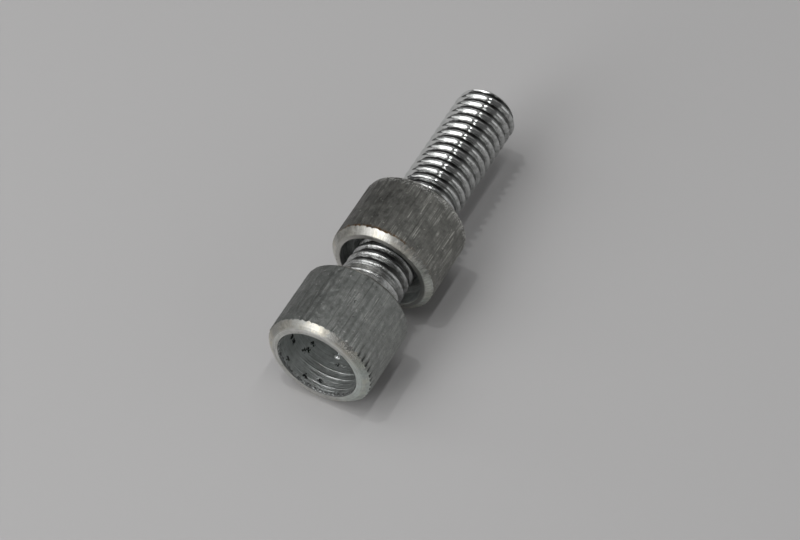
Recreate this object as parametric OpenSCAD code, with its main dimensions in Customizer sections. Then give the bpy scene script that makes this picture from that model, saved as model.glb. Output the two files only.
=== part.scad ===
// Cable adjuster screw with a knurled lock nut.
//
// The screw is turned from one bar: a knurled head with a socket for the end of
// a cable's outer casing, and a threaded shank drilled through for the inner
// wire. The lock nut runs on the shank and jams against the bracket that the
// shank is screwed into. The part stands on its head, with the head's face at
// z = 0 and its axis along Z, up to the tip. The thread is shown by its outside
// diameter. Lengths are in millimetres.

/* [Screw] */
// Length of the screw from the head's face to the tip
screw_len = 33.3; // [26:0.1:80]
// Outside diameter of the thread
thread_d = 6; // [5:0.1:7]
// Chamfer that starts the thread at the tip
tip_chamfer = 0.6; // [0.2:0.05:0.9]
// Diameter of the hole for the inner wire
wire_hole_d = 3; // [1.5:0.1:3.6]

/* [Head] */
// Diameter of the head over its knurl
head_d = 10.2; // [9.6:0.1:16]
// Length of the head
head_len = 7.6; // [7:0.1:14]
// Chamfer on the rim round the socket
head_face_chamfer = 0.65; // [0.2:0.05:0.9]
// Chamfer on the rim next to the shank
head_back_chamfer = 0.45; // [0.1:0.05:0.8]
// Diameter of the socket for the outer casing
socket_d = 7.5; // [5:0.1:7.6]
// Depth of the socket's straight wall
socket_depth = 5; // [2:0.1:5.4]
// Angle of the drill point at the socket's bottom
drill_point = 118; // [90:1:140]
// Bevel that breaks the socket's sharp edge
socket_bevel = 0.12; // [0.02:0.01:0.2]

/* [Lock nut] */
// Diameter of the nut over its knurl
nut_d = 10.2; // [9.6:0.1:16]
// Length of the nut
nut_len = 7.1; // [4:0.1:12]
// Bare thread between the head and the nut
nut_gap = 4; // [0:0.1:8]
// How far the nut's teeth are turned from the head's, in degrees
nut_turn = 3.4; // [0:0.1:90]
// Chamfer on the nut's rim towards the head
nut_front_chamfer = 0.6; // [0.2:0.05:0.9]
// Chamfer on the nut's rim towards the tip
nut_back_chamfer = 0.3; // [0.1:0.05:0.8]
// Width of the recess round the thread, from the shank to its wall
recess_gap = 1; // [0.4:0.05:1.2]
// Depth of the recess
recess_depth = 1.5; // [0.5:0.1:3]
// Play between the shank and the nut's bore, on each side
nut_play = 0.05; // [0.02:0.01:0.1]
// Countersink where the nut's thread starts, at the recess and at the back
nut_countersink = 0.35; // [0.1:0.05:0.6]

/* [Knurl] */
// Distance from tooth to tooth round the bar
knurl_pitch = 0.64; // [0.4:0.01:1.2]
// Depth of the grooves between the teeth
knurl_depth = 0.12; // [0.05:0.01:0.35]
// Share of the pitch that is the flat top of a tooth
knurl_top = 0.26; // [0.05:0.01:0.4]
// Share of the pitch that is the flat bottom of a groove
knurl_bottom = 0.12; // [0.05:0.01:0.4]

/* [Hidden] */
$fn = 96;

// How far a cutting tool runs past the surface that it cuts
over = 1;

steel = [0.72, 0.73, 0.73];
nut_steel = [0.66, 0.67, 0.66];

socket_r = socket_d / 2;
wire_r = wire_hole_d / 2;
thread_r = thread_d / 2;
nut_bore_r = thread_r + nut_play;
recess_r = thread_r + recess_gap;

// The drill point runs from the socket's wall down to the wire's hole
socket_bottom = socket_depth + (socket_r - wire_r) / tan(drill_point / 2);

// Height of the nut's front face above the head's face
nut_front = head_len + nut_gap;

// Teeth that fit round a bar
function teeth_round(d) = round(PI * d / knurl_pitch);

// The four corners of one tooth, as radius and angle, from groove to groove
function tooth(r, step) = [
    [r - knurl_depth, step * (knurl_bottom / 2)],
    [r, step * (1 - knurl_top) / 2],
    [r, step * (1 + knurl_top) / 2],
    [r - knurl_depth, step * (1 - knurl_bottom / 2)]
];

// A bar with straight teeth all round it, and a groove at the angle 0
module knurled_bar(d, len) {
    count = teeth_round(d);
    step = 360 / count;
    linear_extrude(len)
        polygon([
            for (i = [0 : count - 1], corner = tooth(d / 2, step))
                corner[0] * [cos(i * step + corner[1]), sin(i * step + corner[1])]
        ]);
}

// What is left inside the lathe's cuts: a bar with a chamfer on each rim
module chamfered_bar(d, len, chamfer_0, chamfer_1) {
    r = d / 2;
    rotate_extrude()
        polygon([
            [0, 0],
            [r - chamfer_0, 0],
            [r + over, chamfer_0 + over],
            [r + over, len - chamfer_1 - over],
            [r - chamfer_1, len],
            [0, len]
        ]);
}

// A knurled collar: the teeth run out in the chamfer at each end
module knurled_collar(d, len, chamfer_0, chamfer_1) {
    intersection() {
        knurled_bar(d, len);
        chamfered_bar(d, len, chamfer_0, chamfer_1);
    }
}

// A cut whose mouth is at z = 0 and faces -Z, and which closes by 45 degrees
module countersink(mouth_r, depth) {
    rotate_extrude()
        polygon([
            [0, -over],
            [mouth_r, -over],
            [mouth_r, 0],
            [mouth_r - depth, depth],
            [0, depth]
        ]);
}

// The shank, from inside the head to its chamfered tip
module shank() {
    root = head_len - head_back_chamfer;
    translate([0, 0, root])
        rotate_extrude()
            polygon([
                [0, 0],
                [thread_r, 0],
                [thread_r, screw_len - root - tip_chamfer],
                [thread_r - tip_chamfer, screw_len - root],
                [0, screw_len - root]
            ]);
}

// The drilled inside: socket, drill point and the wire's hole to the tip
module cable_way() {
    translate([0, 0, -over]) cylinder(h = socket_depth + over, r = socket_r);
    translate([0, 0, socket_depth])
        cylinder(h = socket_bottom - socket_depth, r1 = socket_r, r2 = wire_r);
    cylinder(h = screw_len + over, r = wire_r);
    countersink(socket_r + socket_bevel, socket_bevel);
}

module adjuster_screw() {
    color(steel)
        difference() {
            union() {
                knurled_collar(head_d, head_len, head_face_chamfer, head_back_chamfer);
                shank();
            }
            cable_way();
        }
}

module lock_nut() {
    color(nut_steel)
        translate([0, 0, nut_front]) rotate(nut_turn)
            difference() {
                knurled_collar(nut_d, nut_len, nut_front_chamfer, nut_back_chamfer);
                translate([0, 0, -over]) cylinder(h = nut_len + 2 * over, r = nut_bore_r);
                translate([0, 0, -over]) cylinder(h = recess_depth + over, r = recess_r);
                translate([0, 0, recess_depth])
                    countersink(nut_bore_r + nut_countersink, nut_countersink);
                translate([0, 0, nut_len])
                    mirror([0, 0, 1]) countersink(nut_bore_r + nut_countersink, nut_countersink);
            }
}

adjuster_screw();
lock_nut();
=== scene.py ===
import math
import random

import bmesh
import bpy
from mathutils import Matrix, Vector


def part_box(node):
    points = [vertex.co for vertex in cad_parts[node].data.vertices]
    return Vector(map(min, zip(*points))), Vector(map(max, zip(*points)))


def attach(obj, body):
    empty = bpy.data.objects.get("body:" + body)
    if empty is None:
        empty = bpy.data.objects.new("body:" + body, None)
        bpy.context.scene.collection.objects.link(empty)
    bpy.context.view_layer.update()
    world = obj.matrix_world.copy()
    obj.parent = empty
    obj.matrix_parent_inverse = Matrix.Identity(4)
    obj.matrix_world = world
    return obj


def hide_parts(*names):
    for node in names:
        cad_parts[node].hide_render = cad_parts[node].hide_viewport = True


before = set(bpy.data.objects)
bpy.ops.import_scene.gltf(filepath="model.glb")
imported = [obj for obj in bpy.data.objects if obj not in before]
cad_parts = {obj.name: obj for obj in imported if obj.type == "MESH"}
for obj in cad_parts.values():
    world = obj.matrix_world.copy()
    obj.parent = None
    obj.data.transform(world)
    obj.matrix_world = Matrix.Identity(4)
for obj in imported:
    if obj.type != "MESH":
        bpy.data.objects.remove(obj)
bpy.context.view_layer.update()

# ---------------------------------------------------------------------------
# The adjuster screw. It is turned from one free-cutting steel bar: a knurled
# head with a bored socket, and a shank with an M6 x 1 thread from the head to
# the tip, drilled through for the wire. It is zinc plated all over.
# ---------------------------------------------------------------------------
mm = 0.001
full_turn = 2 * math.pi

head_r = 5.1 * mm
head_len = 7.6 * mm
face_chamfer = 0.65 * mm
back_chamfer = 0.45 * mm
socket_r = 3.75 * mm
socket_depth = 5.0 * mm
socket_bevel = 0.12 * mm
wire_r = 1.5 * mm
wire_bevel = 0.2 * mm
drill_tip = 118
tip_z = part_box("adjuster_screw")[1].z
tip_chamfer = 0.6 * mm

KNURL, TURNED, BORE, THREAD, BACK_SHADE = range(5)

# One tooth of the knurl: places round the pitch, and the share of the depth
tooth_places = [0.0, 0.06, 0.18, 0.32, 0.42, 0.58, 0.68, 0.82, 0.94]
tooth_heights = [0.0, 0.0, 0.34, 0.74, 1.0, 1.0, 0.74, 0.34, 0.0]
knurl_teeth = 50
knurl_depth = 0.12 * mm
# Shares of the depth: the most that a tooth is worn down, and the plating in the grooves
most_worn = 0.5
groove_fill, fill_spread, most_filled = 0.57, 0.3, 0.9


def angle_of(vert):
    return math.atan2(vert.co.y, vert.co.x) % full_turn


def in_order(verts):
    return sorted(verts, key=angle_of)


def facing(vert, turn, low, span):
    """How squarely a vertex faces a turn round the bar: 0 where the cosine is low, and 1 a span above it."""
    return min(max((math.cos(angle_of(vert) - math.radians(turn)) - low) / span, 0.0), 1.0)


def next_ring(bm, ring, radius, height, finish):
    """Extrudes the open edge of a turned wall to a new radius and height."""
    edges = [bm.edges.get((a, b)) for a, b in zip(ring, ring[1:] + ring[:1])]
    made = bmesh.ops.extrude_edge_only(bm, edges=edges)["geom"]
    new = in_order([g for g in made if isinstance(g, bmesh.types.BMVert)])
    radii = radius if isinstance(radius, list) else [radius] * len(new)
    for vert, r in zip(new, radii):
        a = angle_of(vert)
        vert.co = (r * math.cos(a), r * math.sin(a), height)
    for face in made:
        if isinstance(face, bmesh.types.BMFace):
            face.material_index = finish
    return new


def knurl_ring(bm, turn, radius, height):
    """The first ring of a knurled collar, with its vertices at the corners of the teeth."""
    count = knurl_teeth * len(tooth_places)
    ring = bmesh.ops.create_circle(bm, segments=count, radius=radius)["verts"]
    hair = 0.001  # keeps the first corner of a tooth on its own side of the pitch
    for i, vert in enumerate(in_order(ring)):
        tooth, corner = divmod(i, len(tooth_places))
        a = math.radians(turn) + full_turn * (tooth + tooth_places[corner] + hair) / knurl_teeth
        vert.co = (radius * math.cos(a), radius * math.sin(a), height)
    return in_order(ring)


def pitches_round(vert, turn):
    """How many pitches of the knurl a vertex is from the first tooth."""
    return (angle_of(vert) - math.radians(turn)) % full_turn / full_turn * knurl_teeth


def teeth_radii(ring, turn, radius, seed, fill, depth):
    """The radius of each vertex of a ring on the knurl, with worn teeth and grooves part filled by the plating."""
    draw = random.Random(seed)
    worn = [draw.uniform(0.0, most_worn) for _ in range(knurl_teeth)]
    filled = [draw.uniform(fill - fill_spread, fill + fill_spread) for _ in range(knurl_teeth)]
    radii = []
    for vert in ring:
        place = pitches_round(vert, turn)
        tooth = int(place) % knurl_teeth
        corner = min(range(len(tooth_places)), key=lambda k: abs(place % 1 - tooth_places[k]))
        share = tooth_heights[corner]
        share = share * (1 - worn[tooth]) + (1 - share) * min(max(filled[tooth], 0.0), most_filled)
        radii.append(radius - depth * (1 - share))
    return radii


# On one side of a collar the teeth end in crisp notches, which are blunter elsewhere
notch_turn, notch_low, notch_span = -12, 0.72, 0.2
notch_least = 0.3
notch_deeper = 0.6


def knurled_wall(bm, ring, turn, radius, z_from, z_to, chamfer_from, chamfer_to, seed, crisp, edge_round):
    """Rings from one chamfered rim of a collar along its knurl to the other rim, where the teeth are crisp."""
    way = 1 if z_to > z_from else -1
    teeth = teeth_radii(ring, turn, radius, seed, groove_fill, knurl_depth)
    crisp_depth = knurl_depth * (1 + notch_deeper * crisp)
    crisp_teeth = teeth_radii(ring, turn, radius, seed, groove_fill * (1 - crisp), crisp_depth)
    notched = [notch_least + (1 - notch_least) * facing(vert, notch_turn, notch_low, notch_span) for vert in ring]
    crisp_teeth = [r + (crisp_r - r) * share for r, crisp_r, share in zip(teeth, crisp_teeth, notched)]

    # Up the first chamfer, which cuts the teeth off at a slant
    slant_rows = 5
    cuts = [knurl_depth * (1 - i / slant_rows) for i in range(slant_rows + 1)]
    for cut in cuts:
        z = z_from + way * (chamfer_from - cut)
        radii = [min(r, radius - cut) for r in teeth]
        ring = next_ring(bm, ring, radii, z, TURNED if cut == cuts[0] else KNURL)

    # Along the collar, where the wheel pressed each tooth unevenly
    straight_from, straight_to = z_from + way * chamfer_from, z_to - way * chamfer_to
    draw = random.Random(seed + 50)
    rows, crisp_rows, unevenness = 13, 2.5, 0.4
    for i in range(1, rows + 1):
        uneven = [1 + draw.uniform(-unevenness, unevenness) for _ in range(knurl_teeth)]
        near_rim = max(0.0, 1 - (rows - i) / crisp_rows)
        radii = []
        for vert, r, crisp_r in zip(ring, teeth, crisp_teeth):
            soft_r = radius - (radius - r) * uneven[int(pitches_round(vert, turn)) % knurl_teeth]
            radii.append(soft_r + (crisp_r - soft_r) * near_rim)
        ring = next_ring(bm, ring, radii, straight_from + (straight_to - straight_from) * i / rows, KNURL)

    # Down the last chamfer. Where it cuts the ends of the teeth, its bright metal shows
    deepest = radius - min(crisp_teeth)
    for cut in [deepest * i / slant_rows for i in range(1, slant_rows + 1)]:
        z = z_to - way * (chamfer_to - cut)
        radii = [min(r, radius - cut) for r in crisp_teeth]
        ring = next_ring(bm, ring, radii, z, KNURL)
    edge_r = radius - chamfer_to
    for face in bm.faces:
        if all(abs(math.hypot(v.co.x, v.co.y) - edge_r - abs(v.co.z - z_to)) < 0.002 * mm for v in face.verts):
            face.material_index = TURNED

    # The soft edge between the chamfer and the flat face
    edge_rows = 6
    for i in range(edge_rows):
        share = i / (edge_rows - 1)
        r = edge_r + edge_round * ((1 - share) ** 2 - share ** 2)
        ring = next_ring(bm, ring, r, z_to - way * edge_round * (1 - share) ** 2, TURNED)
    return ring


# The head, from the rim next to the shank over the knurl to the socket
screw = bmesh.new()
head_turn = 3.8
ring = knurl_ring(screw, head_turn, head_r - back_chamfer, head_len)
ring = knurled_wall(
    screw, ring, head_turn, head_r, head_len, 0.0, back_chamfer, face_chamfer,
    seed=11, crisp=1.0, edge_round=0.3 * mm,
)
ring = next_ring(screw, ring, socket_r + socket_bevel, 0.0, TURNED)
ring = next_ring(screw, ring, socket_r, socket_bevel, BORE)

# The boring tool left rings in the socket's wall, stronger on one side. Each
# ridge has a depth below the face, a width and a height, in mm
tool_rings = [
    (0.45, 0.05, 0.015), (0.8, 0.05, 0.03), (1.42, 0.04, 0.015),
    (1.86, 0.06, 0.05), (2.6, 0.05, 0.03), (3.4, 0.04, 0.012),
]
ridge_steps = (-2.2, -1.3, -0.65, 0, 0.65, 1.3, 2.2)
ridge_turn, ridge_low, ridge_span = 75, 0.45, 0.4
ridge_least = 0.12
wall_rows = 14
wall_heights = [socket_bevel + (socket_depth - socket_bevel) * i / wall_rows for i in range(1, wall_rows + 1)]
for d, w, h in tool_rings:
    wall_heights += [(d + w * step) * mm for step in ridge_steps]
for z in sorted(wall_heights):
    ridge = sum(h * mm * math.exp(-(((z - d * mm) / (w * mm)) ** 2)) for d, w, h in tool_rings)
    shares = [ridge_least + (1 - ridge_least) * facing(vert, ridge_turn, ridge_low, ridge_span) for vert in ring]
    ring = next_ring(screw, ring, [socket_r - ridge * share for share in shares], z, BORE)
drill_end = socket_depth + (socket_r - wire_r) / math.tan(math.radians(drill_tip / 2))
for share in (0.25, 0.5, 0.75, 1.0):
    r = socket_r + (wire_r - socket_r) * share
    ring = next_ring(screw, ring, r, socket_depth + (drill_end - socket_depth) * share, BORE)
ring = next_ring(screw, ring, wire_r, tip_z - wire_bevel, BORE)
ring = next_ring(screw, ring, wire_r + wire_bevel, tip_z, TURNED)

# The thread: one pitch of its profile is swept up the shank as a helix
pitch = 1.0 * mm
thread_r = 3.0 * mm
thread_phase = math.radians(61)
root_r = thread_r - 0.51 * mm
crest_round = 0.25 * mm
root_round = 0.11 * mm
flank_lean = math.radians(60)


def thread_form():
    """One pitch of the thread from root to root, as radius and height: round root, flank, round crest."""
    round_steps = 4
    leans = [flank_lean * i / round_steps for i in range(round_steps + 1)]
    half = [(root_r + root_round * (1 - math.cos(a)), root_round * math.sin(a)) for a in leans]
    crest = [
        (thread_r - crest_round * (1 - math.cos(a)), pitch / 2 - crest_round * math.sin(a))
        for a in reversed(leans)
    ]
    (r0, z0), (r1, z1) = half[-1], crest[0]
    for share in (0.08, 0.5, 0.92):
        half.append((r0 + (r1 - r0) * share, z0 + (z1 - z0) * share))
    half += crest
    return half + [(r, pitch - z) for r, z in reversed(half[:-1])]


thread_steps = 72
weld = 0.0005 * mm
thread_start = head_len - 1.5 * pitch
thread_turns = math.ceil((tip_z - thread_start) / pitch) + 1
thread = bmesh.new()
chain = [thread.verts.new((r, 0, thread_start + z)) for r, z in thread_form()]
for a, b in zip(chain, chain[1:]):
    thread.edges.new((a, b))
bmesh.ops.rotate(thread, verts=thread.verts, cent=(0, 0, 0), matrix=Matrix.Rotation(thread_phase, 3, "Z"))
bmesh.ops.spin(
    thread, geom=thread.verts[:] + thread.edges[:], cent=(0, 0, 0), axis=(0, 0, 1),
    dvec=(0, 0, pitch / thread_steps), angle=full_turn, steps=thread_steps,
    use_merge=False, use_duplicate=False,
)
one_turn = thread.verts[:] + thread.edges[:] + thread.faces[:]
for turn in range(1, thread_turns):
    copy = bmesh.ops.duplicate(thread, geom=one_turn)["geom"]
    moved = [g for g in copy if isinstance(g, bmesh.types.BMVert)]
    bmesh.ops.translate(thread, verts=moved, vec=(0, 0, turn * pitch))
bmesh.ops.remove_doubles(thread, verts=thread.verts, dist=weld)

# The groove runs out towards the head, and the tip is chamfered
runout = 3.6 * mm
for vert in thread.verts:
    r = math.hypot(vert.co.x, vert.co.y)
    groove_r = thread_r - (max(0.0, vert.co.z - head_len) / runout) ** 2 * (thread_r - root_r)
    cone_r = thread_r - max(0.0, vert.co.z - (tip_z - tip_chamfer))
    new_r = min(max(r, groove_r), cone_r)
    vert.co.x *= new_r / r
    vert.co.y *= new_r / r
for z, side in ((head_len, -1), (tip_z, 1)):
    bmesh.ops.bisect_plane(
        thread, geom=thread.verts[:] + thread.edges[:] + thread.faces[:], dist=1e-9,
        plane_co=(0, 0, z), plane_no=(0, 0, side), clear_outer=True,
    )
bmesh.ops.recalc_face_normals(thread, faces=thread.faces)
for face in thread.faces:
    face.material_index = THREAD
thread_mesh = bpy.data.meshes.new("thread")
thread.to_mesh(thread_mesh)
thread.free()
screw.from_mesh(thread_mesh)
bpy.data.meshes.remove(thread_mesh)

# The flat rings round the thread, at the back of the head and at the tip. The ring at
# the back of the head takes the darker zinc, as painted shade
for z, finish in ((head_len, BACK_SHADE), (tip_z, TURNED)):
    level = [e for e in screw.edges if e.is_boundary and all(abs(v.co.z - z) < 0.001 * mm for v in e.verts)]
    made = bmesh.ops.triangle_fill(screw, edges=level, use_beauty=True, normal=(0, 0, 1))
    for face in made["geom"]:
        if isinstance(face, bmesh.types.BMFace):
            face.material_index = finish
bmesh.ops.recalc_face_normals(screw, faces=screw.faces)


def finished_piece(bm, name, finishes):
    """Makes the object of a piece, shaded smooth except at its true edges."""
    true_edge = math.radians(24)
    mesh = bpy.data.meshes.new(name)
    bm.to_mesh(mesh)
    bm.free()
    mesh.shade_smooth()
    mesh.set_sharp_from_angle(angle=true_edge)
    for finish in finishes:
        mesh.materials.append(finish)
    piece = bpy.data.objects.new(name, mesh)
    bpy.context.scene.collection.objects.link(piece)
    return piece


def add(tree, kind, links=None, **settings):
    """Adds a node, sets it up, and joins or fills its inputs: {input: socket or number}."""
    node = tree.nodes.new(kind)
    for key, value in settings.items():
        setattr(node, key, value)
    for key, value in (links or {}).items():
        if isinstance(value, bpy.types.NodeSocket):
            tree.links.new(value, node.inputs[key])
        else:
            node.inputs[key].default_value = value
    return node


def math_node(tree, operation, a, b=0.0, c=0.0):
    return add(tree, "ShaderNodeMath", {0: a, 1: b, 2: c}, operation=operation).outputs[0]


def times(tree, a, b):
    return math_node(tree, "MULTIPLY", a, b)


def scaled(tree, value, scale, more):
    """A value times a scale, plus more."""
    return math_node(tree, "MULTIPLY_ADD", value, scale, more)


def ramp(tree, value, low, high, to_low=0.0, to_high=1.0):
    """A smooth step of a value from low to high."""
    links = {"Value": value, "From Min": low, "From Max": high, "To Min": to_low, "To Max": to_high}
    return add(tree, "ShaderNodeMapRange", links, interpolation_type="SMOOTHSTEP").outputs[0]


def mix_colour(tree, share, first, second):
    node = add(tree, "ShaderNodeMix", data_type="RGBA")
    for key, value in ((0, share), (6, first), (7, second)):
        if isinstance(value, bpy.types.NodeSocket):
            tree.links.new(value, node.inputs[key])
        else:
            node.inputs[key].default_value = value if key == 0 else (*value, 1)
    return node.outputs[2]


def new_group(name, inputs, outputs):
    tree = bpy.data.node_groups.new(name, "ShaderNodeTree")
    for socket in inputs:
        tree.interface.new_socket(socket, in_out="INPUT", socket_type="NodeSocketFloat")
    for socket in outputs:
        tree.interface.new_socket(socket, in_out="OUTPUT", socket_type="NodeSocketFloat")
    return tree, tree.nodes.new("NodeGroupInput").outputs, tree.nodes.new("NodeGroupOutput").inputs


def use_group(tree, group, **values):
    node = tree.nodes.new("ShaderNodeGroup")
    node.node_tree = group
    for key, value in values.items():
        node.inputs[key].default_value = value
    return node.outputs


def noise_node(tree, vector, scale, detail, roughness, **more):
    """Noise of three dimensions, or of four where W is given."""
    links = {"Vector": vector, "Scale": scale, "Detail": detail, "Roughness": roughness, **more}
    dimensions = "4D" if "W" in more else "3D"
    return add(tree, "ShaderNodeTexNoise", links, noise_dimensions=dimensions).outputs[0]


# Place on a turned part, in mm: distance from the axis and height along it, and
# the side and the front as shares of the turn round it
place_group, _, out = new_group("place_on_the_bar", [], ["Radius", "Height", "Side", "Front"])
spot = add(place_group, "ShaderNodeTexCoord").outputs["Object"]
xyz = add(place_group, "ShaderNodeSeparateXYZ", {0: spot}).outputs
flat = add(place_group, "ShaderNodeCombineXYZ", {0: xyz[0], 1: xyz[1]}).outputs[0]
length = add(place_group, "ShaderNodeVectorMath", {0: flat}, operation="LENGTH").outputs["Value"]
around = add(place_group, "ShaderNodeVectorMath", {0: flat}, operation="NORMALIZE").outputs[0]
around = add(place_group, "ShaderNodeSeparateXYZ", {0: around}).outputs
place_group.links.new(times(place_group, length, 1 / mm), out["Radius"])
place_group.links.new(times(place_group, xyz[2], 1 / mm), out["Height"])
place_group.links.new(around[0], out["Side"])
place_group.links.new(around[1], out["Front"])

# Fine rings that a lathe tool leaves: they run round the axis, and fade in and out
turning_group, given, out = new_group("turning_marks", ["Fineness", "Wander"], ["Marks"])
place = use_group(turning_group, place_group)
across = times(turning_group, place["Radius"], given["Fineness"])
along = times(turning_group, place["Height"], given["Fineness"])
side = times(turning_group, place["Side"], given["Wander"])
front = times(turning_group, place["Front"], given["Wander"])
vector = add(turning_group, "ShaderNodeCombineXYZ", {0: across, 1: along, 2: side}).outputs[0]
noise = noise_node(turning_group, vector, 1.0, 3.0, 0.6, W=front)
turning_group.links.new(ramp(turning_group, noise, 0.3, 0.7), out["Marks"])

# Streaks along the bar, which the knurling wheel leaves
streak_group, given, out = new_group("axial_streaks", ["Fineness", "Reach"], ["Streaks"])
place = use_group(streak_group, place_group)
side = times(streak_group, place["Side"], given["Fineness"])
front = times(streak_group, place["Front"], given["Fineness"])
along = times(streak_group, place["Height"], given["Reach"])
vector = add(streak_group, "ShaderNodeCombineXYZ", {0: side, 1: front, 2: along}).outputs[0]
noise = noise_node(streak_group, vector, 1.0, 3.0, 0.6)
streak_group.links.new(ramp(streak_group, noise, 0.3, 0.7), out["Streaks"])

# The cloudy grain of a zinc plating, and its small bright or dark grains
grain_group, given, out = new_group("zinc_grain", ["Fineness"], ["Clouds", "Grains", "Specks", "Pits"])
spot = add(grain_group, "ShaderNodeTexCoord").outputs["Object"]
spot = add(grain_group, "ShaderNodeVectorMath", {0: spot, "Scale": given["Fineness"]}, operation="SCALE").outputs[0]
clouds = noise_node(grain_group, spot, 1600.0, 5.0, 0.65)
grains = noise_node(grain_group, spot, 9000.0, 1.0, 0.5)
for socket, noise, low, high in (
    ("Clouds", clouds, 0.3, 0.7), ("Grains", grains, 0.35, 0.65),
    ("Specks", grains, 0.71, 0.79), ("Pits", grains, 0.29, 0.21),
):
    grain_group.links.new(ramp(grain_group, noise, low, high), out[socket])


def new_finish(name):
    """A bare metal material, its nodes and its shader."""
    finish = bpy.data.materials.new(name)
    finish.use_nodes = True
    tree = finish.node_tree
    shader = tree.nodes["Principled BSDF"]
    shader.inputs["Metallic"].default_value = 1.0
    return finish, tree, shader


def bumped(tree, shader, height, distance):
    bump = add(tree, "ShaderNodeBump", {"Height": height, "Distance": distance})
    tree.links.new(bump.outputs[0], shader.inputs["Normal"])


# Near-black for dirt in the knurl's pits and for painted shade in its deepest grooves; brown grease; bright nicked
# zinc
dirt_and_groove_shade = (0.03, 0.03, 0.028)
brown_grease = (0.15, 0.088, 0.042)
nicked_zinc = (0.85, 0.85, 0.82)


def knurl_material(name, radius, dark, light, worn, streaky, streak_reach, greasy_edge=None, knocked_edge=None):
    """Dull zinc on the knurl: mottled, streaked along the bar, with worn teeth, dark pits and bright specks,
    painted lighter on one side as light and darker in its deepest grooves as shade.
    """
    finish, tree, shader = new_finish(name)
    place = use_group(tree, place_group)
    grain = use_group(tree, grain_group, Fineness=1.0)
    coarse = use_group(tree, grain_group, Fineness=0.42)
    streaks = use_group(tree, streak_group, Fineness=62.0, Reach=streak_reach)["Streaks"]
    fine = use_group(tree, streak_group, Fineness=150.0, Reach=1.6)["Streaks"]

    mottle = scaled(tree, coarse["Clouds"], 0.25, times(tree, grain["Clouds"], 0.45))
    tone = scaled(tree, fine, 0.3, mottle)
    # Painted light: the tone is painted lighter on one side of the bar (Side) and darker on the other, for the
    # light and shade there
    tone = math_node(tree, "ADD", tone, ramp(tree, place["Side"], -0.2, 0.85, -0.13, 0.2))
    colour = mix_colour(tree, tone, dark, light)

    # Streaks are polished bright in patches, on the tops of the teeth first
    top = ramp(tree, place["Radius"], (radius - knurl_depth) / mm, radius / mm)
    patches = ramp(tree, coarse["Clouds"], 0.35, 0.8)
    patches = times(tree, patches, ramp(tree, place["Side"], -0.3, 0.6, 0.35, 1.0))
    polish = times(tree, ramp(tree, streaks, 0.6, 0.95), patches)
    polish = times(tree, polish, scaled(tree, top, 0.7, 0.3))
    polish = math_node(tree, "MAXIMUM", times(tree, polish, streaky), times(tree, coarse["Specks"], 0.8))
    colour = mix_colour(tree, polish, colour, worn)

    colour = mix_colour(tree, times(tree, coarse["Pits"], 0.7), colour, dirt_and_groove_shade)
    # Painted shade: the deepest parts of the grooves and the notches are painted near black
    groove = ramp(tree, place["Radius"], radius / mm - 0.12, radius / mm - 0.18)
    colour = mix_colour(tree, times(tree, groove, 0.8), colour, dirt_and_groove_shade)
    if greasy_edge:
        # A thin broken line of old grease along the edge of the knurl
        off = math_node(tree, "ABSOLUTE", math_node(tree, "SUBTRACT", place["Height"], greasy_edge / mm))
        off = scaled(tree, grain["Clouds"], 0.2, off)
        grease = times(tree, ramp(tree, off, 0.38, 0.1), ramp(tree, coarse["Clouds"], 0.3, 0.65))
        grease = times(tree, grease, ramp(tree, place["Side"], 0.7, 0.2, 0.1, 1.0))
        colour = mix_colour(tree, grease, colour, brown_grease)
    if knocked_edge:
        # Nicks next to a rim that was knocked
        near = ramp(tree, place["Height"], knocked_edge / mm - 0.9, knocked_edge / mm - 0.4)
        nicks = times(tree, ramp(tree, grain["Grains"], 0.8, 0.95), near)
        colour = mix_colour(tree, nicks, colour, nicked_zinc)
    tree.links.new(colour, shader.inputs["Base Color"])

    roughness = scaled(tree, polish, -0.12, 0.4)
    tree.links.new(scaled(tree, grain["Grains"], 0.1, roughness), shader.inputs["Roughness"])
    height = scaled(tree, fine, 0.35, times(tree, grain["Clouds"], 0.9))
    bumped(tree, shader, height, 0.03 * mm)
    return finish


knurl_finish = knurl_material(
    "knurled_zinc_screw", head_r, dark=(0.14, 0.147, 0.14), light=(0.335, 0.346, 0.332),
    worn=(0.62, 0.62, 0.6), streaky=0.7, streak_reach=0.3,
)

# Distances from the axis, in mm, where the chamfered rim of a collar starts and
# is reached, and where the knurl's teeth reach into it
rim_from, rim_to = 4.3, 4.55
teeth_from, teeth_to = 4.95, 5.2
rim_grey = (0.3, 0.3, 0.285)
old_soil = (0.33, 0.31, 0.26)
yellowed_zinc = (0.85, 0.78, 0.62)
pit_dirt = (0.05, 0.05, 0.045)
torn_metal = (0.13, 0.13, 0.125)
face_darker_grey = (0.25, 0.25, 0.24)
# Sides of the rims that are painted another tone: their turn, the cosines where the tone
# starts and is full, its share, how far it keeps to the rim, and its colour.
# The first two are painted shade, which darkens two sides of the rims; the third
# is a faint green cast of the plating. The first side is bruised too
shaded_and_tinted_sides = [
    (-49, 0.75, 0.97, 0.9, 1.0, (0.25, 0.24, 0.215)),
    (-132, 0.77, 0.93, 1.0, 1.0, (0.24, 0.24, 0.22)),
    (10, 0.5, 0.95, 0.5, 0.2, (0.58, 0.72, 0.68)),
]


def side_mask(tree, place, turn, low, high):
    """A mask of the side of a bar that faces a turn round it, from a low cosine to a high one."""
    a = math.radians(turn)
    cosine = scaled(tree, place["Side"], math.cos(a), times(tree, place["Front"], math.sin(a)))
    return ramp(tree, cosine, low, high)


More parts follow.
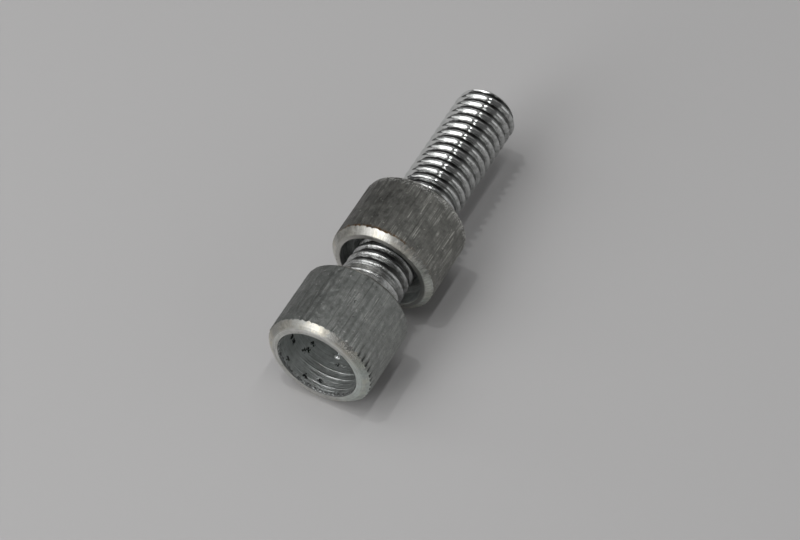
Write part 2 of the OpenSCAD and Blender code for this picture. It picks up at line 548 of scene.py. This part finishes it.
def turned_material(name, dark, light, rough, fineness, knocked=0.6, face_darkened=0.0):
    """Bright turned zinc with the tool's fine rings, soiled, yellowed and knocked on its rim, with painted shade on
    two sides of the rim.
    """
    finish, tree, shader = new_finish(name)
    place = use_group(tree, place_group)
    grain = use_group(tree, grain_group, Fineness=1.0)
    coarse = use_group(tree, grain_group, Fineness=0.5)
    marks = use_group(tree, turning_group, Fineness=fineness, Wander=1.5)["Marks"]
    knocks = use_group(tree, streak_group, Fineness=55.0, Reach=2.0)["Streaks"]
    tooth_marks = use_group(tree, streak_group, Fineness=16.0, Reach=0.6)["Streaks"]
    rim = ramp(tree, place["Radius"], rim_from, rim_to)

    tone = scaled(tree, marks, 0.6, times(tree, grain["Clouds"], 0.4))
    bright = mix_colour(tree, tone, dark, light)
    soiled = times(tree, ramp(tree, coarse["Clouds"], 0.55, 1.0), scaled(tree, rim, 0.3, 0.25))
    bright = mix_colour(tree, soiled, bright, old_soil)
    yellowed = times(tree, ramp(tree, coarse["Clouds"], 0.3, 0.7), times(tree, rim, 0.45))
    bright = mix_colour(tree, yellowed, bright, yellowed_zinc)
    bright = mix_colour(tree, times(tree, coarse["Pits"], 0.8), bright, pit_dirt)
    # Painted shade on two sides of the rim, and the green cast on a third
    sides = [side_mask(tree, place, turn, low, high) for turn, low, high, _, _, _ in shaded_and_tinted_sides]
    for side, (_, _, _, share, rim_only, shade_and_tint) in zip(sides, shaded_and_tinted_sides):
        clouded = times(tree, side, scaled(tree, grain["Clouds"], 0.6, 0.4))
        where = scaled(tree, rim, rim_only * share, (1 - rim_only) * share)
        bright = mix_colour(tree, times(tree, clouded, where), bright, shade_and_tint)

    # On the bruised side the knurl reaches into the rim
    bruised = times(tree, sides[0], rim)
    reach = scaled(tree, tooth_marks, 0.4, place["Radius"])
    torn = times(tree, ramp(tree, reach, teeth_from, teeth_to), times(tree, bruised, 0.85))
    bright = mix_colour(tree, torn, bright, torn_metal)
    # The flat face inside the rim is made darker
    if face_darkened:
        bright = mix_colour(tree, scaled(tree, rim, -face_darkened, face_darkened), bright, face_darker_grey)
    dull = times(tree, rim, scaled(tree, knocks, knocked, 0.12))
    tree.links.new(mix_colour(tree, dull, bright, rim_grey), shader.inputs["Base Color"])

    roughness = scaled(tree, marks, -0.08, rough)
    tree.links.new(scaled(tree, rim, 0.08, roughness), shader.inputs["Roughness"])
    height = scaled(tree, times(tree, knocks, rim), knocked * 1.3, marks)
    height = scaled(tree, times(tree, bruised, grain["Grains"]), 5.0, height)
    bumped(tree, shader, height, 0.008 * mm)
    return finish


turned_finish = turned_material(
    "turned_zinc", dark=(0.36, 0.363, 0.345), light=(0.76, 0.76, 0.73), rough=0.42, fineness=16.0, knocked=0.3,
)

# Specks of swarf and oil in the socket: depth in mm, turn, and reach in mm
socket_specks = [
    (0.73, 115, 0.25), (2.55, 136, 0.26), (2.9, 133, 0.26), (3.7, 131, 0.25), (2.2, 160, 0.29), (2.25, 169, 0.28),
    (0.7, 150, 0.22), (1.1, 95, 0.2), (3.3, 88, 0.18),
]
# A dent in the socket's wall, bumped in and painted near white as a glint: depth in mm, turn, and reach in mm
dent_depth, dent_turn, dent_reach = 4.2, 93.7, 0.45
socket_oil_and_shade = (0.02, 0.02, 0.02)
dent_glint_white = (0.95, 0.97, 0.97)


def bored_material(name, dark, light, rough):
    """Grey plating in the socket, with the boring tool's rings, dark specks of swarf and oil, a painted shadow just
    inside its mouth, and a dent painted near white as a glint.
    """
    finish, tree, shader = new_finish(name)
    place = use_group(tree, place_group)
    grain = use_group(tree, grain_group, Fineness=0.8)
    ragged = use_group(tree, grain_group, Fineness=3.0)["Clouds"]
    marks = use_group(tree, turning_group, Fineness=9.0, Wander=1.5)["Marks"]
    fine_marks = use_group(tree, turning_group, Fineness=26.0, Wander=3.0)["Marks"]
    spot = add(tree, "ShaderNodeTexCoord").outputs["Object"]
    uneven = scaled(tree, ragged, 0.4 * mm, -0.2 * mm)

    def away_from(depth, turn):
        """The distance from a point of the socket's wall."""
        a = math.radians(turn)
        point = (socket_r * math.cos(a), socket_r * math.sin(a), depth * mm)
        return add(tree, "ShaderNodeVectorMath", {0: spot, 1: point}, operation="DISTANCE").outputs["Value"]

    tone = scaled(tree, marks, 0.45, times(tree, grain["Clouds"], 0.55))
    colour = mix_colour(tree, tone, dark, light)
    specks_and_mouth_shade = 0.0
    for depth, turn, reach in socket_specks:
        away = math_node(tree, "ADD", away_from(depth, turn), uneven)
        specks_and_mouth_shade = math_node(tree, "MAXIMUM", specks_and_mouth_shade, ramp(tree, away, reach * mm, 0.5 * reach * mm))
    # Painted shade: a dark band just inside the mouth of the socket
    mouth = ramp(tree, scaled(tree, ragged, 0.5, place["Height"]), 0.62, 0.3)
    specks_and_mouth_shade = math_node(tree, "MAXIMUM", specks_and_mouth_shade, times(tree, mouth, 0.8))
    colour = mix_colour(tree, specks_and_mouth_shade, colour, socket_oil_and_shade)
    # The dent is bumped into the wall, and its colour is a painted glint
    from_dent = away_from(dent_depth, dent_turn)
    dent = ramp(tree, scaled(tree, uneven, 0.5, from_dent), 0.42 * mm, 0.2 * mm)
    colour = mix_colour(tree, dent, colour, dent_glint_white)
    tree.links.new(colour, shader.inputs["Base Color"])

    roughness = scaled(tree, marks, -0.1, rough)
    roughness = scaled(tree, dent, -0.22, roughness)
    tree.links.new(scaled(tree, specks_and_mouth_shade, 0.3, roughness), shader.inputs["Roughness"])
    height = scaled(tree, grain["Clouds"], 0.5, fine_marks)
    height = scaled(tree, marks, 0.8, height)
    height = scaled(tree, ramp(tree, from_dent, dent_reach * mm, 0.0), 16.0, height)
    bumped(tree, shader, height, 0.016 * mm)
    return finish


bore_finish = bored_material("bored_zinc", dark=(0.36, 0.372, 0.366), light=(0.7, 0.722, 0.712), rough=0.46)

# The nut has scuffed the thread up to here, in mm above the head's face
scuffed_full, scuffed_to = 20.0, 22.0
# The dark of a groove, grime and painted shade, ends at these heights above its root, in mm
root_dark_to, flank_from = 0.22, 0.29
root_dirt_and_shade = (0.045, 0.045, 0.044)
scuffed_and_shaded_zinc = (0.3, 0.305, 0.3)
scuff_bright = (0.95, 0.96, 0.95)
bare_steel = (0.16, 0.16, 0.155)


def threaded_material(name, dark, light, rough, fineness):
    """Bright plated flanks, and roots painted dark, as grime and as painted shade in the grooves."""
    finish, tree, shader = new_finish(name)
    place = use_group(tree, place_group)
    grain = use_group(tree, grain_group, Fineness=1.0)
    scuff_specks = use_group(tree, grain_group, Fineness=0.8)["Specks"]
    bruises = use_group(tree, grain_group, Fineness=1.7)["Clouds"]
    marks = use_group(tree, turning_group, Fineness=fineness, Wander=1.5)["Marks"]

    tone = scaled(tree, marks, 0.5, times(tree, grain["Clouds"], 0.5))
    bright = mix_colour(tree, tone, dark, light)
    # The turns that the nut has run over are scuffed and duller. One side is painted darker as shade, and takes the
    # scuffs' roughness, bumps and specks too
    patchy = scaled(tree, grain["Clouds"], 2.0, place["Height"])
    run_over = ramp(tree, patchy, scuffed_to, scuffed_full)
    scuffed_and_side_shade = math_node(tree, "MAXIMUM", run_over, ramp(tree, place["Side"], 0.55, 0.8, 0.0, 0.75))
    bright = mix_colour(tree, times(tree, scuffed_and_side_shade, 0.5), bright, scuffed_and_shaded_zinc)
    bright = mix_colour(tree, times(tree, scuff_specks, scuffed_and_side_shade), bright, scuff_bright)
    worn_through = times(tree, ramp(tree, grain["Clouds"], 0.55, 0.2), times(tree, scuffed_and_side_shade, 0.5))
    bright = mix_colour(tree, worn_through, bright, bare_steel)
    wander = scaled(tree, grain["Clouds"], 0.1, place["Radius"])
    flank = ramp(tree, wander, root_r / mm + root_dark_to, root_r / mm + flank_from)
    # Painted shade: the roots are painted less dark on one side of the bar (Side)
    less_root_shade = math_node(tree, "MAXIMUM", flank, ramp(tree, place["Side"], 0.4, 0.9, 0.0, 0.55))
    tree.links.new(mix_colour(tree, less_root_shade, root_dirt_and_shade, bright), shader.inputs["Base Color"])

    root_rough = 0.4
    roughness = scaled(tree, flank, rough - root_rough, root_rough)
    tree.links.new(scaled(tree, scuffed_and_side_shade, 0.14, roughness), shader.inputs["Roughness"])
    height = scaled(tree, grain["Clouds"], 0.4, marks)
    height = scaled(tree, times(tree, bruises, scuffed_and_side_shade), 5.5, height)
    bumped(tree, shader, height, 0.003 * mm)
    return finish


thread_finish = threaded_material(
    "threaded_zinc", dark=(0.58, 0.59, 0.58), light=(0.76, 0.77, 0.76), rough=0.1, fineness=10.0,
)
# Painted shade: a darker copy of the turned zinc, for the back faces of the head and the nut
back_shade_finish = turned_material(
    "turned_zinc_painted_shade", dark=(0.14, 0.143, 0.138), light=(0.3, 0.305, 0.295), rough=0.46, fineness=12.0,
)
screw_finishes = [knurl_finish, turned_finish, bore_finish, thread_finish, back_shade_finish]
screw_piece = finished_piece(screw, "screw_turned", screw_finishes)
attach(screw_piece, "screw")
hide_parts("adjuster_screw")

# ---------------------------------------------------------------------------
# The lock nut: a knurled collar with a recess round the thread in its front.
# It is turned from the same bar as the screw, and it runs on the thread.
# ---------------------------------------------------------------------------
nut_low, nut_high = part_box("lock_nut")
# The front face stands a hair back, so that it touches the head without cutting into it
nut_low.z += 0.01 * mm
nut_r = 5.1 * mm
nut_front_chamfer = 0.6 * mm
nut_back_chamfer = 0.3 * mm
nut_bore_r = 3.05 * mm
recess_r = 4.0 * mm
recess_depth = 1.5 * mm
countersink = 0.35 * mm
recess_bevel = 0.05 * mm
recess_corner = 0.1 * mm
recess_floor = nut_low.z + recess_depth
nut_turn = 7.2

# From the back rim over the knurl to the front face, then through the recess
# and the bore, back to the first ring
nut = bmesh.new()
ring = knurl_ring(nut, nut_turn, nut_r - nut_back_chamfer, nut_high.z)
ring = knurled_wall(
    nut, ring, nut_turn, nut_r, nut_high.z, nut_low.z, nut_back_chamfer, nut_front_chamfer,
    seed=12, crisp=0.3, edge_round=0.1 * mm,
)
for radius, height, finish in (
    (recess_r + recess_bevel, nut_low.z, TURNED),
    (recess_r, nut_low.z + recess_bevel, TURNED),
    (recess_r, recess_floor - recess_corner, BORE),
    (recess_r - recess_corner, recess_floor, BORE),
    (nut_bore_r + countersink, recess_floor, BORE),
    (nut_bore_r, recess_floor + countersink, BORE),
    (nut_bore_r, nut_high.z - countersink, BORE),
    # The back face takes the darker zinc, as painted shade
    (nut_bore_r + countersink, nut_high.z, BACK_SHADE),
    (nut_r - nut_back_chamfer, nut_high.z, BACK_SHADE),
):
    ring = next_ring(nut, ring, radius, height, finish)
bmesh.ops.remove_doubles(nut, verts=nut.verts, dist=weld)
bmesh.ops.recalc_face_normals(nut, faces=nut.faces)

nut_knurl_finish = knurl_material(
    "knurled_zinc_nut", nut_r, dark=(0.09, 0.09, 0.084), light=(0.27, 0.27, 0.25), worn=(0.62, 0.62, 0.57),
    streaky=1.0, streak_reach=0.14, greasy_edge=nut_low.z + nut_front_chamfer, knocked_edge=nut_high.z,
)
# Painted light: the nut's turned zinc is a lighter copy of the screw's, so that the highlight on its rim is
# brighter
nut_lighter_turned_finish = turned_material(
    "turned_zinc_nut_painted_lighter", dark=(0.62, 0.61, 0.58), light=(0.95, 0.93, 0.87), rough=0.36, fineness=14.0,
    knocked=0.6, face_darkened=0.5,
)
nut_finishes = [nut_knurl_finish, nut_lighter_turned_finish, bore_finish, thread_finish, back_shade_finish]
nut_piece = finished_piece(nut, "lock_nut_turned", nut_finishes)
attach(nut_piece, "nut")
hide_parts("lock_nut")

# ---------------------------------------------------------------------------
# The studio: a pale table top, which the two knurls of the standing adjuster
# touch, a floor under its head, soft lamps, and the camera, which looks down on
# the table top.
# ---------------------------------------------------------------------------
table_up = Vector((0, -1, 0))
camera_turn = math.radians(27.57)
camera_dip = math.radians(51.4)
table_right = Vector((math.cos(camera_turn), 0, math.sin(camera_turn)))
table_away = Vector((-math.sin(camera_turn), 0, math.cos(camera_turn)))
look = math.cos(camera_dip) * table_away - math.sin(camera_dip) * table_up


def stage_material(name, shade):
    """Matt paint that can't be seen from behind."""
    paint = bpy.data.materials.new(name)
    paint.use_nodes = True
    tree = paint.node_tree
    shader = tree.nodes["Principled BSDF"]
    shader.inputs["Base Color"].default_value = (*shade, 1)
    shader.inputs["Roughness"].default_value = 0.6
    shader.inputs["Specular IOR Level"].default_value = 0.2
    clear = tree.nodes.new("ShaderNodeBsdfTransparent")
    behind = tree.nodes.new("ShaderNodeNewGeometry").outputs["Backfacing"]
    mixed = add(tree, "ShaderNodeMixShader", {0: behind, 1: shader.outputs[0], 2: clear.outputs[0]})
    tree.links.new(mixed.outputs[0], tree.nodes["Material Output"].inputs[0])
    return paint


def stage_board(name, up, centre, size, shade):
    """A plain board that the camera sees through from behind."""
    board = bmesh.new()
    bmesh.ops.create_grid(board, x_segments=1, y_segments=1, size=size)
    turn = Vector((0, 0, 1)).rotation_difference(up).to_matrix()
    bmesh.ops.rotate(board, verts=board.verts, cent=(0, 0, 0), matrix=turn)
    bmesh.ops.translate(board, verts=board.verts, vec=centre)
    mesh = bpy.data.meshes.new(name)
    board.to_mesh(mesh)
    board.free()
    mesh.materials.append(stage_material(name + "_paint", shade))
    piece = bpy.data.objects.new(name, mesh)
    bpy.context.scene.collection.objects.link(piece)
    piece.visible_shadow = False
    return piece


middle = 0.015  # height of the part's middle, which the table and the lamps are set round
stage_board("table_top", table_up, (0, head_r, middle), 0.12, (0.46, 0.455, 0.455))
floor = stage_board("floor", Vector((0, 0, 1)), (0, 0, 0), 0.5, (0.85, 0.84, 0.84))
floor.visible_glossy = False
floor.visible_diffuse = False

world = bpy.data.worlds.new("room")
bpy.context.scene.world = world
world.use_nodes = True
background = world.node_tree.nodes["Background"]
seen = add(world.node_tree, "ShaderNodeLightPath").outputs["Is Camera Ray"]
shade = mix_colour(world.node_tree, seen, (0.1, 0.1, 0.1), (0.36, 0.355, 0.355))
world.node_tree.links.new(shade, background.inputs["Color"])


def area_lamp(name, width, height, watts, place):
    data = bpy.data.lights.new(name, "AREA")
    data.shape = "RECTANGLE"
    data.size, data.size_y = width, height
    data.energy = watts
    piece = bpy.data.objects.new(name, data)
    piece.matrix_world = place
    bpy.context.scene.collection.objects.link(piece)


# Each lamp faces the object: its angle round the table from the object's right,
# its angle above the table, its distance, width, height and watts
for name, azimuth, elevation, distance, width, height, watts in (
    ("window", 223, 22, 0.5, 0.2, 0.36, 1.0),
    ("side_window", 200, 22, 0.5, 0.2, 0.32, 0.24),
    ("ceiling_lamp", 166, 77.7, 0.8, 0.02, 0.02, 0.5),
    ("fill", 338, 20, 0.5, 0.8, 0.34, 0.44),
    ("softbox", 165, 62, 0.5, 0.4, 0.4, 0.78),
    ("back_softbox", 65, 45, 0.5, 0.5, 0.3, 0.1),
    ("window_top", 214, 52, 0.5, 0.24, 0.2, 0.24),
    ("far_window", 162, 27, 0.5, 0.15, 0.24, 0.13),
    ("low_fill", 8, 5, 0.5, 0.4, 0.14, 0.04),
):
    a, e = math.radians(azimuth), math.radians(elevation)
    way = math.cos(e) * (math.cos(a) * table_right + math.sin(a) * table_away) + math.sin(e) * table_up
    right = table_up.cross(way).normalized()
    turn = Matrix((right, way.cross(right), way)).transposed().to_4x4()
    area_lamp(name, width, height, watts, Matrix.Translation(way * distance + Vector((0, 0, middle))) @ turn)

# A long tube over the table, parallel to the bar
tube_place = Matrix.Translation((0.097, -0.8, 0.066))
tube_turn = Matrix(((1, 0, 0), (0, 0, -1), (0, 1, 0))).to_4x4()
area_lamp("tube_lamp", 0.04, 0.7, 1.0, tube_place @ tube_turn)

camera = bpy.data.cameras.new("camera")
camera.lens = 121.1
camera.sensor_width = 36
camera.clip_start = 0.01
camera_piece = bpy.data.objects.new("camera", camera)
camera_piece.location = (0.0701, -0.1857, -0.1188)
right = look.cross(table_up).normalized()
upward = right.cross(look)
camera_piece.rotation_mode = "QUATERNION"
camera_piece.rotation_quaternion = Matrix((right, upward, -look)).transposed().to_quaternion()
bpy.context.scene.collection.objects.link(camera_piece)
bpy.context.scene.camera = camera_piece
bpy.context.scene.view_settings.view_transform = "Standard"
